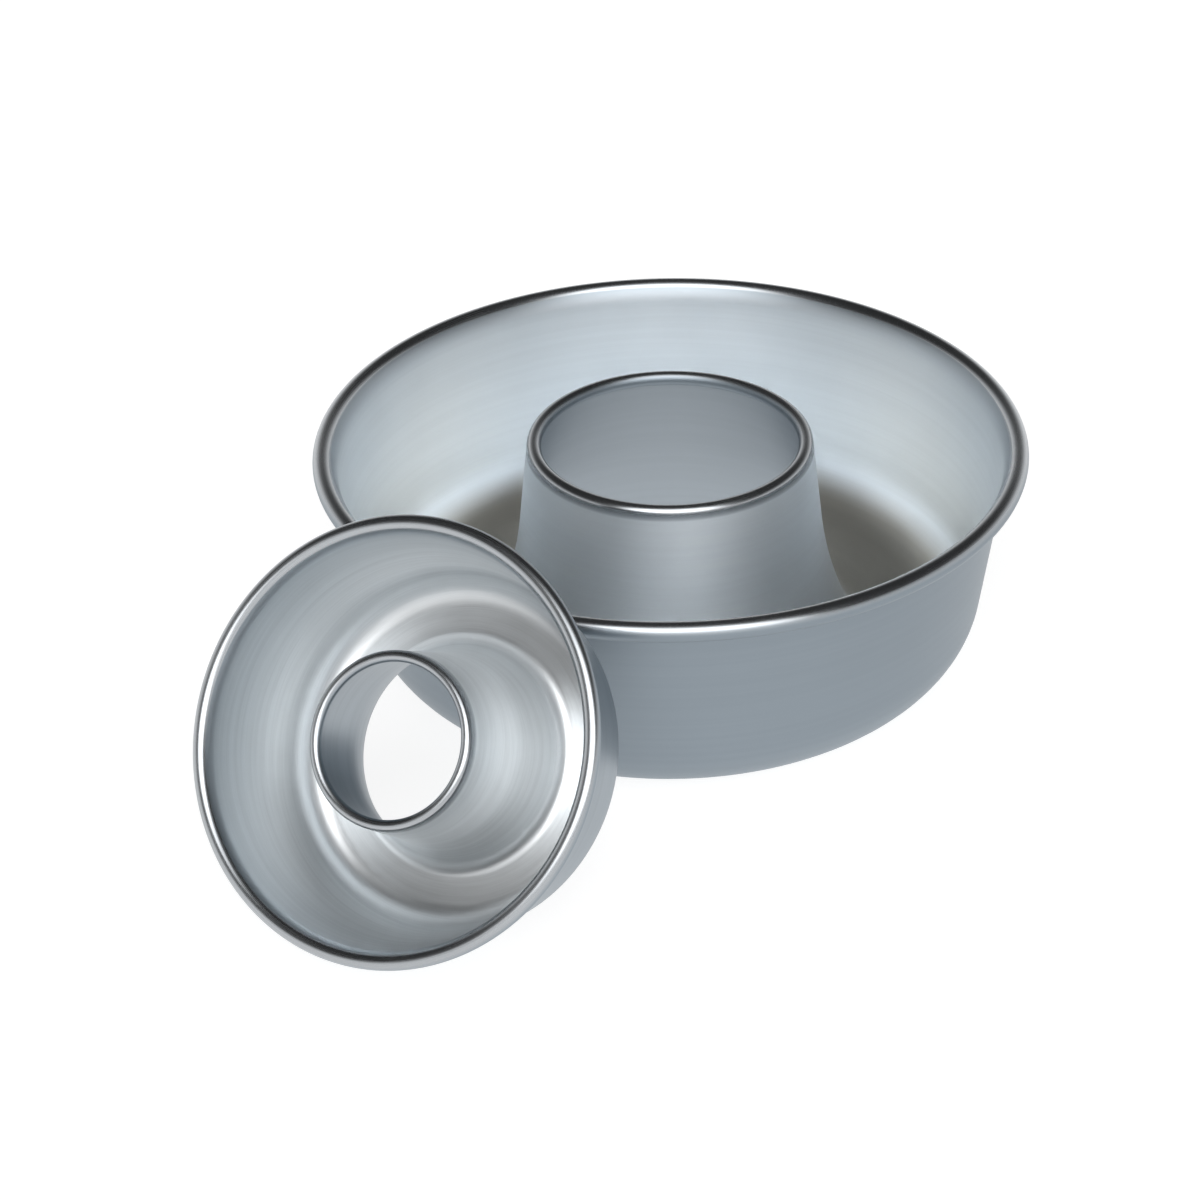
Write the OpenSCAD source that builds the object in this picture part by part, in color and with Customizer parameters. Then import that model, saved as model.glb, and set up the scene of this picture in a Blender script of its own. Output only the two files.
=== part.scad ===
// Two spun aluminium ring pans for angel food cake: a large one standing flat
// and a small one that leans its floor on the large pan's rim.
// Each pan is one sheet: rolled rim, tapered wall, round corner, floor and open tube.

/* [Large pan] */
// Thickness of the sheet
large_sheet = 1.2; // [0.8:0.1:1.6]
// Outside radius of the rolled rim
large_rim_r = 134.4; // [125:0.2:160]
// Height from the base to the top of the rim
large_height = 89; // [76:1:105]
// Lean of the outer wall from upright, in degrees
large_wall_tilt = 8.3; // [4:0.1:11]
// Outside radius of the bottom corner
large_corner_r = 31.5; // [24:0.5:36]
// Diameter of the rolled rim
large_rim_bead = 7.4; // [6:0.1:9]
// Radius of the soft bend below the rolled rim
large_lip_r = 15; // [10:1:20]
// Radius of the tube where its rolled top is widest
large_tube_r = 54; // [45:0.5:56]
// Height from the base to the top of the tube
large_tube_height = 89; // [84:1:110]
// Lean of the upper tube from upright, in degrees
large_tube_tilt = 6.2; // [3:0.1:7]
// Radius of the long bend that opens the tube towards the floor
large_horn_r = 150; // [110:1:155]
// Radius of the bend between tube and floor
large_foot_r = 13; // [9:0.5:15]
// Diameter of the rolled top of the tube
large_tube_bead = 5.5; // [4.5:0.1:7]

/* [Small pan] */
// Thickness of the sheet
small_sheet = 1; // [0.7:0.1:1.2]
// Outside radius of the rolled rim
small_rim_r = 76.3; // [74:0.1:84]
// Height from the base to the top of the rim
small_height = 56; // [50:0.5:60]
// Lean of the outer wall from upright, in degrees
small_wall_tilt = 10.4; // [6:0.1:12]
// Outside radius of the bottom corner
small_corner_r = 11.5; // [8:0.5:13]
// Diameter of the rolled rim
small_rim_bead = 5.6; // [4.6:0.1:6.6]
// Radius of the soft bend below the rolled rim
small_lip_r = 10; // [7:0.5:13]
// Radius of the tube where its rolled top is widest
small_tube_r = 30.4; // [25:0.2:33]
// Height from the base to the top of the tube
small_tube_height = 56; // [46:0.5:66]
// Lean of the upper tube from upright, in degrees
small_tube_tilt = 4.5; // [2:0.1:6]
// Radius of the long bend that opens the tube towards the floor
small_horn_r = 60; // [45:1:75]
// Radius of the bend between tube and floor
small_foot_r = 6; // [4:0.5:8]
// Diameter of the rolled top of the tube
small_tube_bead = 4; // [3.6:0.1:5]

/* [Leaning of the small pan] */
// How far inside the edge of its flat floor the small pan touches the large rim
lean_inset = 0.1; // [0:0.1:5]
// Compass angle that the small pan's mouth faces, counted from +X
lean_heading = -120.3; // [-135:0.1:-105]
// Sideways distance of the small pan from the line through both pans
lean_shift = 7.3; // [0:0.1:12]
// Gap left where the small pan's floor leans on the large rim
lean_gap = 0.3; // [0.1:0.1:1]

/* [Hidden] */
$fn = 96;

// Turn of the soft bend below the rim before the tight roll starts, from upright
lip_turn = 35;
// Turn of the tube's long bend before the tight bend starts, from upright
horn_turn = 24;
// Gap between the end of a rolled edge and the wall that it curls back to
roll_gap = 0.4;
// Largest step off the true curve where a bend is drawn with points
bend_error = 0.05;
// Least width of the flat floor, for which the bends on both sides of it give way
floor_min = 3;

function polar(r, a) = r * [cos(a), sin(a)];

// Points along a bend, close enough together for bend_error
function arc(centre, r, a1, a2) =
    let (steps = ceil(abs(a2 - a1) / (2 * acos(1 - bend_error / r))))
    [for (i = [0 : steps]) centre + polar(r, a1 + (a2 - a1) * i / steps)];

// Two bends that meet share an end, which is kept once
function kept_once(points) =
    [for (i = [0 : len(points) - 1])
        if (i == 0 || norm(points[i] - points[max(i - 1, 0)]) > bend_error) points[i]];

// One face of the sheet: the straight stretches are what lies between the bends.
// A bend is [centre, radius on the cake's side, radius on the other side, angles].
function face(bends, side) =
    kept_once([for (b = bends) each arc(b[0], b[side], b[3], b[4])]);

module sheet_profile(bends) {
    other = face(bends, 2);
    polygon(concat(face(bends, 1), [for (i = [len(other) - 1 : -1 : 0]) other[i]]));
}

// The outer half: rim rolled outwards, soft lip bend, straight wall and bottom corner
function rim_centre(rim_r, height, bead) = [rim_r - bead / 2, height - bead / 2];
function lip_centre(rim, bead, lip_r) = rim - polar(lip_r - bead / 2, 180 - lip_turn);
function wall_top(rim, bead, lip_r, tilt) =
    lip_centre(rim, bead, lip_r) + polar(lip_r, 180 - tilt);

// Centre of the bottom corner, which is tangent to the wall and to the base
function corner_centre(rim, sheet, tilt, corner_r, bead, lip_r) =
    let (top = wall_top(rim, bead, lip_r, tilt))
    [top.x + (sheet - corner_r) / cos(tilt) - (top.y - corner_r) * tan(tilt), corner_r];

// Turn of the rim's roll, until its end is roll_gap away from the lip bend
function rim_roll(sheet, bead, lip_r) =
    let (r = bead / 2, free = lip_r - sheet - roll_gap, across = lip_r - r)
    360 - acos((pow(free, 2) - pow(r, 2) - pow(across, 2)) / (2 * r * across));

function outer_bends(sheet, rim, tilt, corner_r, bead, lip_r) = [
    [rim, bead / 2, bead / 2 - sheet,
        180 - lip_turn - rim_roll(sheet, bead, lip_r), 180 - lip_turn],
    [lip_centre(rim, bead, lip_r), lip_r, lip_r - sheet, 180 - lip_turn, 180 - tilt],
    [corner_centre(rim, sheet, tilt, corner_r, bead, lip_r),
        corner_r - sheet, corner_r, -tilt, -90]
];

// The inner half: foot, long horn bend, straight tube wall and top rolled inwards
function tube_centre(tube_r, height, bead) = [tube_r - bead / 2, height - bead / 2];
function horn_start_z(sheet, tilt, horn_r, foot_r) =
    sheet + foot_r * (1 - sin(horn_turn)) + horn_r * (sin(horn_turn) - sin(tilt));
function horn_centre(sheet, tube, tilt, horn_r, foot_r, bead) =
    let (top = tube + polar(bead / 2, tilt),
         z = horn_start_z(sheet, tilt, horn_r, foot_r))
    [top.x + (top.y - z) * tan(tilt), z] + polar(horn_r, tilt);

function foot_centre(sheet, tube, tilt, horn_r, foot_r, bead) =
    horn_centre(sheet, tube, tilt, horn_r, foot_r, bead) + polar(foot_r - horn_r, horn_turn);

// Turn of the tube's roll, until its end is roll_gap away from the tube's wall
function tube_roll(sheet, bead) = 360 - acos(1 - 2 * (sheet + roll_gap) / bead);

function inner_bends(sheet, tube, tilt, horn_r, foot_r, bead) =
    let (horn = horn_centre(sheet, tube, tilt, horn_r, foot_r, bead))
    [
        [foot_centre(sheet, tube, tilt, horn_r, foot_r, bead), foot_r, foot_r + sheet,
            270, 180 + horn_turn],
        [horn, horn_r, horn_r + sheet, 180 + horn_turn, 180 + tilt],
        [tube, bead / 2, bead / 2 - sheet, tilt, tilt + tube_roll(sheet, bead)]
    ];

// Centres of the rolls at the rim and at the top of the tube
large_rim = rim_centre(large_rim_r, large_height, large_rim_bead);
large_tube = tube_centre(large_tube_r, large_tube_height, large_tube_bead);
small_rim = rim_centre(small_rim_r, small_height, small_rim_bead);
small_tube = tube_centre(small_tube_r, small_tube_height, small_tube_bead);

// Flat floor left between corner and foot when all three bends keep a share of their
// radius, and the largest share, up to the whole, that leaves floor_min of it
function large_flat(share) =
    corner_centre(large_rim, large_sheet, large_wall_tilt, large_corner_r * share,
        large_rim_bead, large_lip_r).x
    - foot_centre(large_sheet, large_tube, large_tube_tilt, large_horn_r * share,
        large_foot_r * share, large_tube_bead).x;
function small_flat(share) =
    corner_centre(small_rim, small_sheet, small_wall_tilt, small_corner_r * share,
        small_rim_bead, small_lip_r).x
    - foot_centre(small_sheet, small_tube, small_tube_tilt, small_horn_r * share,
        small_foot_r * share, small_tube_bead).x;
function fitting_share(sharp, flat) = min(1, (sharp - floor_min) / (sharp - flat));
large_share = fitting_share(large_flat(0), large_flat(1));
small_share = fitting_share(small_flat(0), small_flat(1));
small_bottom_r = small_corner_r * small_share;
small_corner = corner_centre(
    small_rim, small_sheet, small_wall_tilt, small_bottom_r, small_rim_bead, small_lip_r);

// The small pan stands on its bottom corner and its floor leans on the large rim.
// lean_touch is how far up its floor that is, and sets how steeply it leans:
// lean_pitch is the angle of its mouth above level.
lean_touch = sqrt(pow(small_corner.x - lean_inset, 2) - pow(lean_shift, 2));
lean_span = small_corner.x + lean_touch;
lean_stand = small_bottom_r + large_rim_bead / 2 + lean_gap;
lean_pitch = acos((large_rim.y - small_bottom_r) / norm([lean_span, lean_stand]))
    - atan2(lean_stand, lean_span);

// lean_axis points out of its mouth, and lean_out is that direction on the table
lean_out = [cos(lean_heading), sin(lean_heading), 0];
lean_side = [-sin(lean_heading), cos(lean_heading), 0];
lean_axis = lean_out * cos(lean_pitch) + [0, 0, sin(lean_pitch)];
lean_lift = small_corner.x * cos(lean_pitch) + small_bottom_r * (1 - sin(lean_pitch));
lean_reach = large_rim.x + lean_touch * sin(lean_pitch)
    + (large_rim_bead / 2 + lean_gap) * cos(lean_pitch);
small_place = lean_out * lean_reach + lean_side * lean_shift + [0, 0, lean_lift];

// The origin is under the middle of the box around both pans
small_mouth = small_place + lean_axis * small_rim.y;
function mouth_low(i) =
    small_mouth[i] - small_rim.x * sqrt(1 - pow(lean_axis[i], 2)) - small_rim_bead / 2;
set_middle = [
    (large_rim_r + min(-large_rim_r, mouth_low(0))) / 2,
    (large_rim_r + min(-large_rim_r, mouth_low(1))) / 2,
    0
];

module large_pan() {
    color([0.60, 0.64, 0.68])
        translate(-set_middle)
            rotate_extrude()
                sheet_profile(concat(
                    outer_bends(large_sheet, large_rim, large_wall_tilt,
                        large_corner_r * large_share, large_rim_bead, large_lip_r),
                    inner_bends(large_sheet, large_tube, large_tube_tilt,
                        large_horn_r * large_share, large_foot_r * large_share,
                        large_tube_bead)));
}

module small_pan() {
    color([0.66, 0.69, 0.73])
        translate(small_place - set_middle)
            rotate([0, 90 - lean_pitch, lean_heading])
                rotate_extrude()
                    sheet_profile(concat(
                        outer_bends(small_sheet, small_rim, small_wall_tilt,
                            small_bottom_r, small_rim_bead, small_lip_r),
                        inner_bends(small_sheet, small_tube, small_tube_tilt,
                            small_horn_r * small_share, small_foot_r * small_share,
                            small_tube_bead)));
}

large_pan();
small_pan();
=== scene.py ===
"""Angel food cake pans: the looks of two spun ring pans, the small one leaning on the large.

Each pan is one sheet of satin anodised aluminium, so each is one closed surface of
revolution. All lengths in the mesh code are in metres.
"""

import math

import bpy
import numpy as np
from mathutils import Matrix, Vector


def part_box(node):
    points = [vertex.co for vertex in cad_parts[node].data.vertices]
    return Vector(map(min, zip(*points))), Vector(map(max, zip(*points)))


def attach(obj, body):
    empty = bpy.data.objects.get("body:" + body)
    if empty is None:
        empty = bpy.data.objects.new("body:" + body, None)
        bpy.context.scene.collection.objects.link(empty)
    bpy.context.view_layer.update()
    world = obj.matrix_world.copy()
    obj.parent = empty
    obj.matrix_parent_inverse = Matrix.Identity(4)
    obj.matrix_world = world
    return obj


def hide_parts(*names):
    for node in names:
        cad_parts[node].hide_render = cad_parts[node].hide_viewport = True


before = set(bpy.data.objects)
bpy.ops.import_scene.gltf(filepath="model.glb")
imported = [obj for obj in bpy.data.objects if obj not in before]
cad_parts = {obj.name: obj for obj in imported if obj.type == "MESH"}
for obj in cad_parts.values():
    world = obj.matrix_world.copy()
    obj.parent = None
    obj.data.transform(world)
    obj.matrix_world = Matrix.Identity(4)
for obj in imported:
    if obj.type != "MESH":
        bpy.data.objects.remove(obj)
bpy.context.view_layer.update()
LARGE_LOW, LARGE_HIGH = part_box("large_pan")

bl_info = {
    "name": "Angel Food Cake Pans",
    "version": (1, 0, 0),
    "blender": (4, 5, 0),
    "location": "3D View > Sidebar > Cake Pans",
    "description": "Spun ring pans with rolled rims, their satin finish and a plain studio",
    "category": "Add Mesh",
}

# Form of both pans
LIP_TURN = 35.0           # turn of the soft bend below the rim, in degrees from upright
HORN_TURN = 24.0          # turn of the tube's long bend, in degrees from upright
ROLL_GAP = 0.0004         # gap between a rolled edge and the wall it curls back to
BOX_TOLERANCE = 0.0006    # how far a pan may be off its solid's box

# The bends of a pan's sheet, in order from the end of the rim's roll
RIM, LIP, CORNER, FOOT, HORN, TUBE = range(6)

# Fineness of the mesh
AROUND = 288              # steps round each pan
BEND_STEPS = 8            # fewest steps in a bend
BEND_STEP = 0.0025        # longest step along a bend
BEND_TURN = 7.5           # widest turn in one step of a bend, in degrees
STRETCH_STEP = 0.003      # longest step along a straight stretch
SAME_POINT = 1e-6         # distance under which the ends of two bends are one point

# Where the colour and softness change along the sheet; most of the colour changes are painted
# shade, and the one in the bore is painted light. A pair is where a share is 0 and where it is 1.
RIM_ROLLED = (5, 45)            # angle that the rim's roll faces, in degrees above level; painted shade leaves it darker where it faces down
TUBE_ROLLED = (150, 115)        # the same on the tube's roll, counted on past upright, with the same painted shade
CORNER_FLOOR = (0.175, 0.425)   # way along the bottom corner over which the painted shade of the large pan's floor comes in
LIP_CLEAR = (0.02, 0.10)        # way down from the rim over which the painted shade on the lip lightens, as a share of the height
LIP_PAINTED_SHADE = 0.15                # share of the inside colour where the wall meets the rim: painted shade
BORE_PAINTED_LIGHT = 0.2                # share of the inside colour in the tube's bore: painted light on the outer side
BORE_REACH = 1.2                # radius up to which the bore goes, in radii of the tube

# Noise in the finish. Lines and bands: scale round the pan, scale per millimetre along the
# sheet, detail and roughness. Clouds: scale in the object's own coordinates.
LINES = (2.2, 5.5, 3.0, 0.65)
BANDS = (0.7, 0.45, 2.0, 0.5)
CLOUDS = {"Scale": 14.0, "Detail": 3.0, "Roughness": 0.55}
NOISE_RANGE = (0.3, 0.7)        # values of a noise that its ramps run over
LINES_RANGE = (0.25, 0.75)      # the same for the spin lines in the roughness
SPIN_SHADE = 0.05               # how far lines and bands lighten or darken the colour
SPIN_SOFTNESS = 0.05            # how far lines change the roughness
CLOUD_SHADE = (0.975, 1.025)    # factors on the colour
CLOUD_SOFTNESS = (-0.02, 0.02)  # what the clouds add to the roughness
BAND_HEIGHT = 2.0               # height of the bands in the bump, next to the lines
BUMP_STRENGTH = 0.35
BUMP_DISTANCE = 0.00001

# Studio. Heights are in degrees above the horizon, and sides in degrees from the front.
WINDOW_FOOT = (10, 28)          # heights over which the window comes in
WINDOW_HEAD = (50, 82)          # heights over which it goes out
WINDOW_OVERHEAD = 0.08          # share of it that stays overhead
WINDOW_SIDE = (28, 50)          # sides over which it goes out
WALLS_END = (4, 34)             # heights over which the white walls go over into the ceiling
FLOOR_RADIUS = 20.0
FLOOR_STEPS = 128
SENSOR_WIDTH = 36.0             # width of the camera's sensor, in millimetres


# Settings


def length(name, description, millimetres):
    """A property that holds a length, given here in millimetres."""
    return bpy.props.FloatProperty(
        name=name,
        description=description,
        default=millimetres / 1000,
        min=0.0,
        max=1.0,
        precision=4,
        subtype="DISTANCE",
        unit="LENGTH",
    )


def angle(name, description, degrees):
    """A property that holds an angle, given here in degrees."""
    return bpy.props.FloatProperty(
        name=name,
        description=description,
        default=math.radians(degrees),
        subtype="ANGLE",
        unit="ROTATION",
    )


def colour(name, description, value):
    """A property that holds a linear colour."""
    return bpy.props.FloatVectorProperty(
        name=name,
        description=description,
        default=value,
        size=3,
        min=0.0,
        max=1.0,
        subtype="COLOR",
    )


def number(name, description, value):
    """A property that holds a number from 0 up."""
    return bpy.props.FloatProperty(
        name=name,
        description=description,
        default=value,
        min=0.0,
    )


def share(name, description, value):
    """A property that holds a share from 0 to 1."""
    return bpy.props.FloatProperty(
        name=name,
        description=description,
        default=value,
        min=0.0,
        max=1.0,
        subtype="FACTOR",
    )


class LargePanSizes(bpy.types.PropertyGroup):
    """Sizes of the large pan. Rim and height are those of its solid."""

    sheet: length("Sheet", "Thickness of the sheet", 1.2)
    rim_r: length("Rim radius", "Outside radius of the rolled rim",
                  (LARGE_HIGH.x - LARGE_LOW.x) / 2 * 1000)
    height: length("Height", "Base to the top of the rim", LARGE_HIGH.z * 1000)
    wall_tilt: angle("Wall tilt", "Lean of the wall from upright", 8.3)
    corner_r: length("Corner", "Outside radius of the bottom corner", 31.5)
    rim_bead: length("Rim roll", "Diameter of the rolled rim", 7.4)
    lip_r: length("Lip", "Radius of the soft bend below the rim", 15)
    tube_r: length("Tube radius", "Radius of the tube at its rolled top", 54)
    tube_height: length("Tube height", "Base to the top of the tube",
                        LARGE_HIGH.z * 1000)
    tube_tilt: angle("Tube tilt", "Lean of the upper tube from upright", 6.2)
    horn_r: length("Horn", "Radius of the long bend that opens the tube", 150)
    foot_r: length("Foot", "Radius of the bend between tube and floor", 13)
    tube_bead: length("Tube roll", "Diameter of the rolled top of the tube", 5.5)


class SmallPanSizes(bpy.types.PropertyGroup):
    """Sizes of the small pan and how it leans on the large one."""

    sheet: length("Sheet", "Thickness of the sheet", 1.0)
    rim_r: length("Rim radius", "Outside radius of the rolled rim", 76.3)
    height: length("Height", "Base to the top of the rim", 56)
    wall_tilt: angle("Wall tilt", "Lean of the wall from upright", 10.4)
    corner_r: length("Corner", "Outside radius of the bottom corner", 11.5)
    rim_bead: length("Rim roll", "Diameter of the rolled rim", 5.6)
    lip_r: length("Lip", "Radius of the soft bend below the rim", 10)
    tube_r: length("Tube radius", "Radius of the tube at its rolled top", 30.4)
    tube_height: length("Tube height", "Base to the top of the tube", 56)
    tube_tilt: angle("Tube tilt", "Lean of the upper tube from upright", 4.5)
    horn_r: length("Horn", "Radius of the long bend that opens the tube", 60)
    foot_r: length("Foot", "Radius of the bend between tube and floor", 6)
    tube_bead: length("Tube roll", "Diameter of the rolled top of the tube", 4)
    lean_inset: length("Lean inset", "How far inside the edge of its floor it touches", 0.1)
    lean_heading: angle("Heading", "Compass angle that its mouth faces", -120.3)
    lean_shift: length("Shift", "Sideways distance from the line through both pans", 7.3)
    lean_gap: length("Gap", "Gap to the large rim", 0.3)


class FinishSettings(bpy.types.PropertyGroup):
    """Colours and texture of the anodised sheet; the outside, rolled, floor and rim colours carry
    painted shade.
    """

    large_inside: colour("Large inside", "Colour of the large pan on the cake's side",
                         (0.905, 0.95, 0.985))
    # Painted shade: set darker than the large pan's inside, though both are the same metal.
    small_inside: colour("Small inside", "Colour of the small pan on the cake's side",
                         (0.755, 0.78, 0.795))
    # Painted shade: the outer side is the same metal as the cake's side, set darker here.
    outside: colour("Outside", "Colour of the outer side", (0.26, 0.30, 0.335))
    # Painted shade: the rolls' upper faces take this colour, darker than the cake's side, and
    # their undersides take the outside's.
    rolled: colour("Rolled edges", "Colour of the rolled rims", (0.44, 0.46, 0.48))
    # Painted shade: the large pan's floor and the foot of its tube are set darker and warmer.
    floor: colour("Floor", "Colour of the large pan's shaded floor", (0.56, 0.54, 0.485))
    # Painted shade on the cake's side of the wall: its share of the inside colour at the rim, and
    # how far down the darkening goes.
    large_rim_painted_shade: share("Large rim shade", "Share of the inside colour at the rim", 0.62)
    small_rim_painted_shade: share("Small rim shade", "Share of the inside colour at the rim", 0.42)
    large_painted_shade_reach: share("Large shade depth", "How far down the wall the shade goes", 0.65)
    small_painted_shade_reach: share("Small shade depth", "How far down the wall the shade goes", 0.95)
    large_roughness: share("Large roughness", "Softness of the large pan's finish", 0.45)
    small_roughness: share("Small roughness", "Softness of the small pan's finish", 0.34)
    rim_roughness: share("Rim roughness", "Softness where the roller has burnished the rims", 0.26)
    stretch: share("Stretch", "How far the spin lines draw out highlights", 0.3)
    large_lines: share("Large spin lines", "Strength of the large pan's spin lines", 0.25)
    small_lines: number("Small spin lines", "Strength of the small pan's spin lines", 0.8)


class StageSettings(bpy.types.PropertyGroup):
    """Light, floor and camera."""

    window: number("Window", "Brightness of the big soft light in front", 3.6)
    ceiling: share("Ceiling", "Brightness of the dark ceiling", 0.04)
    floor: share("Floor", "Diffuse colour of the floor", 0.34)
    glow: share("Glow", "Brightness that the pale floor shows by itself", 0.84)
    lens: bpy.props.FloatProperty(
        name="Lens", description="Focal length on a 36 mm sensor", default=105.0,
        unit="CAMERA")
    elevation: angle("Elevation", "Height angle of the camera's view", 32.028)
    roll: angle("Roll", "Turn of the picture", -1.331)
    camera_place: bpy.props.FloatVectorProperty(
        name="Camera place", description="Camera from the large pan's centre, on the floor",
        default=(-0.02765, -1.14760, 0.73510), size=3, subtype="XYZ", unit="LENGTH")


# Profile


def polar(radius, degrees):
    """Point at a radius and an angle: (r cos a, r sin a)."""
    a = np.radians(degrees)
    return np.array([radius * np.cos(a), radius * np.sin(a)])


def arc(centre, radius, start, end, count):
    """Points centre + radius (cos a, sin a), with a in count even steps from start to end."""
    a = np.radians(np.linspace(start, end, count + 1))
    return np.stack([centre[0] + radius * np.cos(a), centre[1] + radius * np.sin(a)], 1)


def pan_bends(s):
    """The six bends of a pan's sheet, from the end of the rim's roll to that of the tube's.

    Each is (centre, radius on the cake's side, radius on the other side, start angle,
    end angle). Every bend is tangent to the straight stretch or bend on either side of it.
    """
    tilt, tube_tilt = math.degrees(s.wall_tilt), math.degrees(s.tube_tilt)
    rim, bead = np.array([s.rim_r - s.rim_bead / 2, s.height - s.rim_bead / 2]), s.rim_bead / 2
    lip = rim - polar(s.lip_r - bead, 180 - LIP_TURN)
    top = lip + polar(s.lip_r, 180 - tilt)
    free, across = s.lip_r - s.sheet - ROLL_GAP, s.lip_r - bead
    rim_roll = 360 - math.degrees(
        math.acos((free ** 2 - bead ** 2 - across ** 2) / (2 * bead * across)))
    corner = np.array([
        top[0] + (s.sheet - s.corner_r) / math.cos(s.wall_tilt)
        - (top[1] - s.corner_r) * math.tan(s.wall_tilt),
        s.corner_r])

    tube_bead = s.tube_bead / 2
    tube = np.array([s.tube_r - tube_bead, s.tube_height - tube_bead])
    tube_top = tube + polar(tube_bead, tube_tilt)
    turn = math.sin(math.radians(HORN_TURN))
    z = s.sheet + s.foot_r * (1 - turn) + s.horn_r * (turn - math.sin(s.tube_tilt))
    horn = np.array([tube_top[0] + (tube_top[1] - z) * math.tan(s.tube_tilt), z])
    horn = horn + polar(s.horn_r, tube_tilt)
    foot = horn + polar(s.foot_r - s.horn_r, HORN_TURN)
    tube_roll = 360 - math.degrees(math.acos(1 - (s.sheet + ROLL_GAP) / tube_bead))
    return [
        (rim, bead, bead - s.sheet, 180 - LIP_TURN - rim_roll, 180 - LIP_TURN),
        (lip, s.lip_r, s.lip_r - s.sheet, 180 - LIP_TURN, 180 - tilt),
        (corner, s.corner_r - s.sheet, s.corner_r, -tilt, -90),
        (foot, s.foot_r, s.foot_r + s.sheet, 270, 180 + HORN_TURN),
        (horn, s.horn_r, s.horn_r + s.sheet, 180 + HORN_TURN, 180 + tube_tilt),
        (tube, tube_bead, tube_bead - s.sheet, tube_tilt, tube_tilt + tube_roll),
    ]


def fade(values, zero, one):
    """Shares that go evenly from 0, where the values are zero, to 1, where they are one."""
    return np.clip((values - zero) / (one - zero), 0, 1)


def bend_points(centre, near, far, start, end):
    """A bend's points on the cake's side and on the other side."""
    turn = abs(end - start)
    length_steps = math.ceil(math.radians(turn) * max(near, far) / BEND_STEP)
    count = max(BEND_STEPS, length_steps, math.ceil(turn / BEND_TURN))
    return arc(centre, near, start, end, count), arc(centre, far, start, end, count)


def stretch_points(start, end, count):
    """The points between start and end, in count even steps and without the two ends."""
    return start + (end - start) * (np.arange(1, count) / count)[:, None]


def bend_shares(bend, facing, along):
    """Per point of a bend, its share of the rolled edge, of the floor and of the cake's side.

    facing is the angle that each point faces, and along is its way along the bend, 0 to 1.
    """
    rolled, floor = np.zeros(len(along)), np.zeros(len(along))
    # On the rolls the colour goes by the way each point faces: painted shade.
    if bend == RIM:
        rolled = fade(facing, *RIM_ROLLED)
    # The large pan's floor and the foot of its tube take the painted floor shade.
    elif bend == CORNER:
        floor = fade(along, *CORNER_FLOOR)
    elif bend == FOOT:
        floor = 1 - along ** 2
    elif bend == TUBE:
        rolled = fade(facing, *TUBE_ROLLED)
    inside = np.full(len(along), 0.0 if bend in (RIM, TUBE) else 1.0)
    return np.stack([rolled, floor, inside], 1)


def painted_wall_shade(down, rim_painted_shade, painted_shade_reach):
    """Share of the inside colour on the wall, by the way down it from 0 to 1: painted shade,
    darkest just under the rim.

    It goes from the rim's share at the rim to 1 at the given depth, and is darker still on the
    lip.
    """
    lip, below = fade(down, *LIP_CLEAR), fade(down, 0, painted_shade_reach)
    wall = rim_painted_shade + (1 - rim_painted_shade) * below * (2 - below)
    return (LIP_PAINTED_SHADE + (1 - LIP_PAINTED_SHADE) * lip) * wall


def pan_outline(s, rim_painted_shade, painted_shade_reach):
    """The closed outline of a pan's sheet in (radius, height), with what each point is.

    It runs along the cake's side from the rim's roll to the tube's, and back along the
    other side. Straight stretches are filled in between one bend's end and the next one's
    start. Returns the points, and per point its share of the inside colour, of the rolled
    edges and of the floor. These shares carry painted shade, and in the bore painted light.
    """
    cake, other, shares = [], [], []
    for bend, (centre, near, far, start, end) in enumerate(pan_bends(s)):
        a, b = bend_points(centre, near, far, start, end)
        gap = np.linalg.norm(a[0] - cake[-1][-1]) if cake else 0.0
        if gap > SAME_POINT:
            count = max(2, math.ceil(gap / STRETCH_STEP))
            cake.append(stretch_points(cake[-1][-1], a[0], count))
            other.append(stretch_points(other[-1][-1], b[0], count))
            shares.append(np.tile([0.0, float(bend == FOOT), 1.0], (count - 1, 1)))
        elif cake:
            a, b = a[1:], b[1:]
        along = np.linspace(0, 1, len(a))
        cake.append(a)
        other.append(b)
        shares.append(bend_shares(bend, start + (end - start) * along, along))
    cake, other = np.concatenate(cake), np.concatenate(other)[::-1]
    rolled, floor, inside = np.concatenate(shares).T
    # Painted shade down the cake's side of the wall, darkest under the rim.
    on_wall = cake[:, 0] > (s.tube_r + s.rim_r) / 2
    shade = painted_wall_shade(1 - cake[:, 1] / s.height, rim_painted_shade, painted_shade_reach)
    # Painted light in the tube's bore.
    bore = BORE_PAINTED_LIGHT * (other[:, 0] < s.tube_r * BORE_REACH)
    return (
        np.concatenate([cake, other]),
        np.concatenate([inside * np.where(on_wall, shade, 1.0), bore]),
        np.concatenate([rolled, rolled[::-1]]),
        np.concatenate([floor, np.zeros(len(floor))]),
    )


# Mesh


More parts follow.
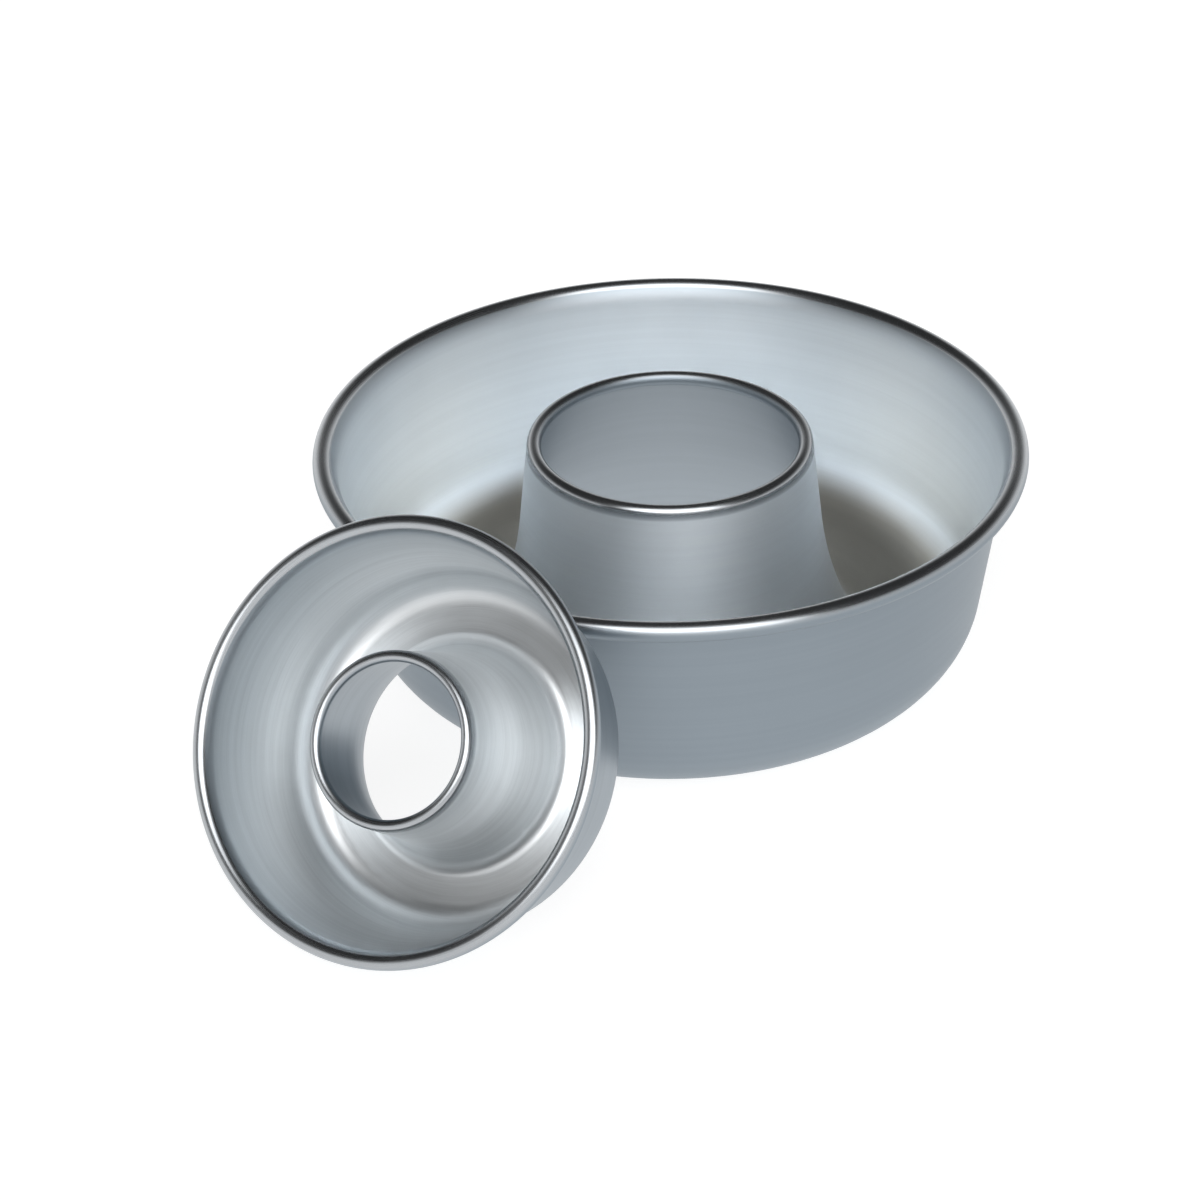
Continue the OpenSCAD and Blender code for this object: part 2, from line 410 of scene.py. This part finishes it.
def spun_surface(name, s, place, rim_painted_shade, painted_shade_reach):
    """A pan: every outline point (r, z) carried round the axis to (r cos t, r sin t, z).

    place is the 4 x 4 matrix that then puts it in the frame. The mesh carries the maps of the
    finish and of its painted shade and light: spin_x, spin_y and spin_z are a point on a unit
    circle and the distance along the sheet in millimetres, and inside, rolled and floor are
    shares from 0 to 1, which carry the painted shade and light. The corners of the sheet's
    two cut ends are sharp.
    """
    outline, inside, rolled, floor = pan_outline(s, rim_painted_shade, painted_shade_reach)
    n, m = len(outline), AROUND
    t = np.linspace(0, 2 * np.pi, m, endpoint=False)
    local = np.stack([
        np.outer(np.cos(t), outline[:, 0]),
        np.outer(np.sin(t), outline[:, 0]),
        np.broadcast_to(outline[:, 1], (m, n))], -1)
    world = local.reshape(-1, 3) @ place[:3, :3].T + place[:3, 3]

    i, j = np.meshgrid(np.arange(m), np.arange(n), indexing="ij")
    i2, j2 = (i + 1) % m, (j + 1) % n
    quads = np.stack([i * n + j, i2 * n + j, i2 * n + j2, i * n + j2], -1).reshape(-1, 4)

    mesh = bpy.data.meshes.new(name)
    mesh.vertices.add(len(world))
    mesh.vertices.foreach_set("co", world.astype(np.float32).ravel())
    mesh.loops.add(quads.size)
    mesh.loops.foreach_set("vertex_index", quads.astype(np.int32).ravel())
    mesh.polygons.add(len(quads))
    mesh.polygons.foreach_set("loop_start", (np.arange(len(quads)) * 4).astype(np.int32))
    mesh.polygons.foreach_set("use_smooth", np.ones(len(quads), dtype=bool))
    mesh.update(calc_edges=True)
    cut_ends = [0, n // 2 - 1, n // 2, n - 1]
    edges = np.empty(len(mesh.edges) * 2, np.int32)
    mesh.edges.foreach_get("vertices", edges)
    row = edges.reshape(-1, 2) % n
    sharp = (row[:, 0] == row[:, 1]) & np.isin(row[:, 0], cut_ends)
    mesh.edges.foreach_set("use_edge_sharp", sharp)

    steps = np.linalg.norm(np.diff(outline, axis=0, append=outline[:1]), axis=1)
    along = np.concatenate([[0], np.cumsum(steps)])
    turn = np.concatenate([t, [2 * np.pi]]) / (2 * np.pi)
    u = np.stack([along[j], along[j], along[j + 1], along[j + 1]], -1) / along[-1]
    v = np.stack([turn[i], turn[i + 1], turn[i + 1], turn[i]], -1)
    uv = mesh.uv_layers.new(name="Spin")
    uv.data.foreach_set("uv", np.stack([u, v], -1).astype(np.float32).ravel())

    maps = {
        "spin_x": np.repeat(np.cos(t), n),
        "spin_y": np.repeat(np.sin(t), n),
        "spin_z": np.tile(along[:-1] * 1000, m),
        "inside": np.tile(inside, m),
        "rolled": np.tile(rolled, m),
        "floor": np.tile(floor, m),
    }
    for key, values in maps.items():
        layer = mesh.attributes.new(key, "FLOAT", "POINT")
        layer.data.foreach_set("value", values.astype(np.float32))
    mesh.validate()
    pan = bpy.data.objects.new(name, mesh)
    bpy.context.scene.collection.objects.link(pan)
    return pan


def lean_place(small, large, axis_x, axis_y):
    """Where the small pan's base centre and axis are, as a 4 x 4 matrix.

    It stands on its bottom corner, and its floor leans on the large rim: the pitch comes
    from the rim's height and from how far up its floor the small pan touches it.
    """
    corner = pan_bends(small)[CORNER][0]
    rim = pan_bends(large)[RIM][0]
    touch = math.sqrt((corner[0] - small.lean_inset) ** 2 - small.lean_shift ** 2)
    span = corner[0] + touch
    stand = small.corner_r + large.rim_bead / 2 + small.lean_gap
    pitch = math.acos((rim[1] - small.corner_r) / math.hypot(span, stand)) - math.atan2(
        stand, span)
    c, s = math.cos(pitch), math.sin(pitch)
    h = small.lean_heading
    out = np.array([math.cos(h), math.sin(h), 0.0])
    beside = np.array([-math.sin(h), math.cos(h), 0.0])
    axis = out * c + np.array([0, 0, s])
    lift = corner[0] * c + small.corner_r * (1 - s)
    reach = rim[0] + touch * s + (large.rim_bead / 2 + small.lean_gap) * c
    place = np.eye(4)
    place[:3, 0] = np.cross(beside, axis)
    place[:3, 1] = beside
    place[:3, 2] = axis
    place[:3, 3] = np.array([axis_x, axis_y, 0]) + out * reach + beside * small.lean_shift
    place[2, 3] = lift
    return place


# Finish


def add(tree, kind, **sockets):
    """A node of that kind, with its inputs set or linked by name."""
    node = tree.nodes.new(kind)
    for key, value in sockets.items():
        socket = node.inputs[key.replace("_", " ")]
        if isinstance(value, bpy.types.NodeSocket):
            tree.links.new(value, socket)
        else:
            socket.default_value = value
    return node


def maths(tree, operation, a, b=None):
    """A Math node's output."""
    node = tree.nodes.new("ShaderNodeMath")
    node.operation = operation
    for socket, value in zip(node.inputs, (a, b)):
        if isinstance(value, bpy.types.NodeSocket):
            tree.links.new(value, socket)
        elif value is not None:
            socket.default_value = value
    return node.outputs[0]


def attribute(tree, name):
    """A value that the mesh carries at its points."""
    node = tree.nodes.new("ShaderNodeAttribute")
    node.attribute_name = name
    return node.outputs["Fac"]


def mix_colour(tree, factor, a, b, blend="MIX"):
    """A Mix node's colour."""
    node = tree.nodes.new("ShaderNodeMix")
    node.data_type = "RGBA"
    node.blend_type = blend
    for socket, value in zip((node.inputs[0], node.inputs[6], node.inputs[7]), (factor, a, b)):
        if isinstance(value, bpy.types.NodeSocket):
            tree.links.new(value, socket)
        else:
            socket.default_value = value
    return node.outputs[2]


def ramp(tree, value, low, high, to_low=0.0, to_high=1.0):
    """A smooth step from to_low to to_high as value goes from low to high."""
    node = add(tree, "ShaderNodeMapRange", Value=value, From_Min=low, From_Max=high,
               To_Min=to_low, To_Max=to_high)
    node.interpolation_type = "SMOOTHSTEP"
    return node.outputs[0]


def angle_ramp(tree, value, degrees, to_low=0.0, to_high=1.0):
    """A smooth step over a pair of angles, given in degrees."""
    return ramp(tree, value, *map(math.radians, degrees), to_low, to_high)


def spin_noise(tree, around, along, detail, roughness):
    """Noise on the sheet that is drawn out round the pan: fine along the sheet, long round it."""
    place = add(tree, "ShaderNodeCombineXYZ",
                X=maths(tree, "MULTIPLY", attribute(tree, "spin_x"), around),
                Y=maths(tree, "MULTIPLY", attribute(tree, "spin_y"), around),
                Z=maths(tree, "MULTIPLY", attribute(tree, "spin_z"), along))
    node = add(tree, "ShaderNodeTexNoise", Vector=place.outputs[0], Scale=1.0, Detail=detail,
               Roughness=roughness)
    return node.outputs["Fac"]


def anodised(name, settings, inside, roughness, strength, painted_floor_shade):
    """Satin anodised aluminium with circular spin lines.

    The colour is inside, the outside's, the floor's or that of the rolled edges, mixed by
    the shares that the mesh carries. The outside's, the floor's and the rolled edges' colours
    are painted shade, as is the inside colour's darkening under the rim, and its share in
    the bore is painted light. Lines, bands and clouds vary it a little, and the first two
    make the bump. roughness holds away from the rolled edges, strength is that of lines and
    bands, and the last argument is 1 for a pan with painted shade on its floor and else 0.
    """
    material = bpy.data.materials.new(name)
    material.use_nodes = True
    tree = material.node_tree
    tree.nodes.clear()
    rolled = attribute(tree, "rolled")
    lines = spin_noise(tree, *LINES)
    bands = spin_noise(tree, *BANDS)
    where = tree.nodes.new("ShaderNodeTexCoord").outputs["Object"]
    cloud = add(tree, "ShaderNodeTexNoise", Vector=where, **CLOUDS).outputs["Fac"]

    # The outside's darker colour is painted shade.
    base = mix_colour(tree, attribute(tree, "inside"), (*settings.outside, 1), (*inside, 1))
    # Painted shade on the large pan's floor.
    base = mix_colour(tree, maths(tree, "MULTIPLY", attribute(tree, "floor"), painted_floor_shade),
                      base, (*settings.floor, 1))
    # Painted shade on the rolls, by the way each point faces.
    base = mix_colour(tree, rolled, base, (*settings.rolled, 1))
    light = SPIN_SHADE * strength
    shade = maths(tree, "ADD", ramp(tree, lines, *NOISE_RANGE, -light, light),
                  ramp(tree, bands, *NOISE_RANGE, -light, light))
    shade = maths(tree, "ADD", shade, ramp(tree, cloud, *NOISE_RANGE, *CLOUD_SHADE))
    grey = add(tree, "ShaderNodeCombineColor", Red=shade, Green=shade, Blue=shade)
    base = mix_colour(tree, 1.0, base, grey.outputs[0], "MULTIPLY")

    rough = ramp(tree, rolled, 0.0, 1.0, roughness, settings.rim_roughness)
    soft = SPIN_SOFTNESS * strength
    rough = maths(tree, "ADD", rough, ramp(tree, lines, *LINES_RANGE, -soft, soft))
    rough = maths(tree, "ADD", rough, ramp(tree, cloud, *NOISE_RANGE, *CLOUD_SOFTNESS))

    height = maths(tree, "ADD", lines, maths(tree, "MULTIPLY", bands, BAND_HEIGHT))
    bump = add(tree, "ShaderNodeBump", Strength=BUMP_STRENGTH * strength,
               Distance=BUMP_DISTANCE, Height=height)
    tangent = tree.nodes.new("ShaderNodeTangent")
    tangent.direction_type = "UV_MAP"
    tangent.uv_map = "Spin"
    shader = add(tree, "ShaderNodeBsdfPrincipled", Base_Color=base, Roughness=rough,
                 Metallic=1.0, Anisotropic=settings.stretch, Normal=bump.outputs[0],
                 Tangent=tangent.outputs[0])
    add(tree, "ShaderNodeOutputMaterial", Surface=shader.outputs[0])
    return material


# Operators


def large_axis():
    """The large pan's axis, which is the middle of its solid's box."""
    return (LARGE_LOW.x + LARGE_HIGH.x) / 2, (LARGE_LOW.y + LARGE_HIGH.y) / 2


def finish_pan(pan, body, node, material):
    """Seats a pan on its body in place of its solid, whose box it has to match."""
    pan.data.materials.append(material)
    low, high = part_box(node)
    co = np.empty(len(pan.data.vertices) * 3, np.float32)
    pan.data.vertices.foreach_get("co", co)
    co = co.reshape(-1, 3)
    off = max(np.abs(co.min(0) - np.array(low)).max(), np.abs(co.max(0) - np.array(high)).max())
    if off > BOX_TOLERANCE:
        raise RuntimeError(f"{pan.name} is {off * 1000:.2f} mm off its solid's box")
    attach(pan, body)
    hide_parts(node)


class OBJECT_OT_large_ring_pan(bpy.types.Operator):
    """Add the large ring pan, standing flat"""

    bl_idname = "object.large_ring_pan"
    bl_label = "Large Ring Pan"

    def execute(self, context):
        x, y = large_axis()
        place = np.eye(4)
        place[:2, 3] = x, y
        look = context.scene.pan_finish
        pan = spun_surface("large_ring_pan", context.scene.large_pan_sizes, place,
                           look.large_rim_painted_shade, look.large_painted_shade_reach)
        finish_pan(pan, "large_pan", "large_pan", anodised(
            "large_pan_anodised", look, look.large_inside, look.large_roughness,
            look.large_lines, 1.0))
        return {"FINISHED"}


class OBJECT_OT_small_ring_pan(bpy.types.Operator):
    """Add the small ring pan, leaning on the large pan's rim"""

    bl_idname = "object.small_ring_pan"
    bl_label = "Small Ring Pan"

    def execute(self, context):
        sizes = context.scene.small_pan_sizes
        place = lean_place(sizes, context.scene.large_pan_sizes, *large_axis())
        look = context.scene.pan_finish
        pan = spun_surface("small_ring_pan", sizes, place, look.small_rim_painted_shade,
                           look.small_painted_shade_reach)
        finish_pan(pan, "small_pan", "small_pan", anodised(
            "small_pan_anodised", look, look.small_inside, look.small_roughness,
            look.small_lines, 0.0))
        return {"FINISHED"}


class SCENE_OT_pan_studio(bpy.types.Operator):
    """Add the pale floor, the soft light and the camera"""

    bl_idname = "scene.pan_studio"
    bl_label = "Studio"

    def execute(self, context):
        settings = context.scene.pan_stage
        self.floor(settings)
        self.light(context.scene, settings)
        self.camera(context.scene, settings)
        context.scene.view_settings.view_transform = "Standard"
        return {"FINISHED"}

    def floor(self, settings):
        """A wide pale disc. It glows a little by itself and keeps the pans' shadow."""
        t = np.linspace(0, 2 * np.pi, FLOOR_STEPS, endpoint=False)
        edge = FLOOR_RADIUS * np.stack([np.cos(t), np.sin(t), np.zeros(FLOOR_STEPS)], 1)
        mesh = bpy.data.meshes.new("floor")
        mesh.from_pydata(edge.tolist(), [], [list(range(FLOOR_STEPS))])
        floor = bpy.data.objects.new("floor", mesh)
        bpy.context.scene.collection.objects.link(floor)
        material = bpy.data.materials.new("pale_floor")
        material.use_nodes = True
        tree = material.node_tree
        tree.nodes.clear()
        path = tree.nodes.new("ShaderNodeLightPath").outputs
        seen = maths(tree, "MAXIMUM", path["Is Camera Ray"], path["Is Glossy Ray"])
        seen = maths(tree, "MAXIMUM", seen, path["Is Transmission Ray"])
        grey = (settings.floor,) * 3 + (1,)
        paint = add(tree, "ShaderNodeBsdfDiffuse", Color=grey)
        glow = add(tree, "ShaderNodeEmission", Color=(1, 1, 1, 1),
                   Strength=maths(tree, "MULTIPLY", seen, settings.glow))
        both = tree.nodes.new("ShaderNodeAddShader")
        tree.links.new(paint.outputs[0], both.inputs[0])
        tree.links.new(glow.outputs[0], both.inputs[1])
        add(tree, "ShaderNodeOutputMaterial", Surface=both.outputs[0])
        mesh.materials.append(material)

    def light(self, scene, settings):
        """White walls up to the horizon, a dark ceiling, and a big soft window in front."""
        world = bpy.data.worlds.new("studio")
        scene.world = world
        world.use_nodes = True
        tree = world.node_tree
        tree.nodes.clear()
        way = tree.nodes.new("ShaderNodeTexCoord").outputs["Generated"]
        way = add(tree, "ShaderNodeSeparateXYZ", Vector=way).outputs
        high = maths(tree, "ARCSINE", way["Z"])
        aside = maths(tree, "ABSOLUTE", maths(
            tree, "ARCTAN2", way["X"], maths(tree, "MULTIPLY", way["Y"], -1.0)))
        window = maths(tree, "MULTIPLY", angle_ramp(tree, high, WINDOW_FOOT),
                       angle_ramp(tree, high, WINDOW_HEAD, 1.0, WINDOW_OVERHEAD))
        window = maths(tree, "MULTIPLY", window,
                       angle_ramp(tree, aside, WINDOW_SIDE, 1.0, 0.0))
        window = maths(tree, "MULTIPLY", window, settings.window)
        walls = angle_ramp(tree, high, WALLS_END, 1.0, settings.ceiling)
        strength = maths(tree, "MAXIMUM", walls, window)
        seen = tree.nodes.new("ShaderNodeLightPath").outputs["Is Camera Ray"]
        strength = maths(tree, "MAXIMUM", strength, seen)
        sky = add(tree, "ShaderNodeBackground", Color=(1, 1, 1, 1), Strength=strength)
        add(tree, "ShaderNodeOutputWorld", Surface=sky.outputs[0])

    def camera(self, scene, settings):
        """The camera at the photograph's place. Its axes are right, up and backwards."""
        e, roll = settings.elevation, settings.roll
        right = np.array([1.0, 0, 0])
        forward = np.array([0, math.cos(e), -math.sin(e)])
        down = np.cross(forward, right)
        c, s = math.cos(roll), math.sin(roll)
        across, below = c * right - s * down, s * right + c * down
        data = bpy.data.cameras.new("camera")
        data.lens = settings.lens
        data.sensor_width = SENSOR_WIDTH
        data.sensor_fit = "HORIZONTAL"
        data.clip_end = 100.0
        camera = bpy.data.objects.new("camera", data)
        x, y = large_axis()
        matrix = np.eye(4)
        matrix[:3, 0], matrix[:3, 1], matrix[:3, 2] = across, -below, -forward
        matrix[:3, 3] = np.array(settings.camera_place) + np.array([x, y, 0])
        camera.matrix_world = Matrix(matrix.tolist())
        scene.collection.objects.link(camera)
        scene.camera = camera


class VIEW3D_PT_cake_pans(bpy.types.Panel):
    """The pans' sizes, finish and studio"""

    bl_label = "Cake Pans"
    bl_idname = "VIEW3D_PT_cake_pans"
    bl_space_type = "VIEW_3D"
    bl_region_type = "UI"
    bl_category = "Cake Pans"

    def draw(self, context):
        layout = self.layout
        layout.operator(OBJECT_OT_large_ring_pan.bl_idname)
        layout.operator(OBJECT_OT_small_ring_pan.bl_idname)
        layout.operator(SCENE_OT_pan_studio.bl_idname)
        for name, title, _ in GROUPS:
            box = layout.box()
            box.label(text=title)
            group = getattr(context.scene, name)
            for key in group.__annotations__:
                box.prop(group, key)


# The settings on the scene: name, title in the panel and property group
GROUPS = (
    ("large_pan_sizes", "Large pan", LargePanSizes),
    ("small_pan_sizes", "Small pan", SmallPanSizes),
    ("pan_finish", "Finish", FinishSettings),
    ("pan_stage", "Studio", StageSettings),
)
CLASSES = (
    *(group for _, _, group in GROUPS),
    OBJECT_OT_large_ring_pan,
    OBJECT_OT_small_ring_pan,
    SCENE_OT_pan_studio,
    VIEW3D_PT_cake_pans,
)


def register():
    for item in CLASSES:
        bpy.utils.register_class(item)
    for name, _, group in GROUPS:
        setattr(bpy.types.Scene, name, bpy.props.PointerProperty(type=group))


def unregister():
    for name, _, _ in GROUPS:
        delattr(bpy.types.Scene, name)
    for item in reversed(CLASSES):
        bpy.utils.unregister_class(item)


def main():
    register()
    bpy.ops.object.large_ring_pan()
    bpy.ops.object.small_ring_pan()
    bpy.ops.scene.pan_studio()


if __name__ == "__main__":
    main()
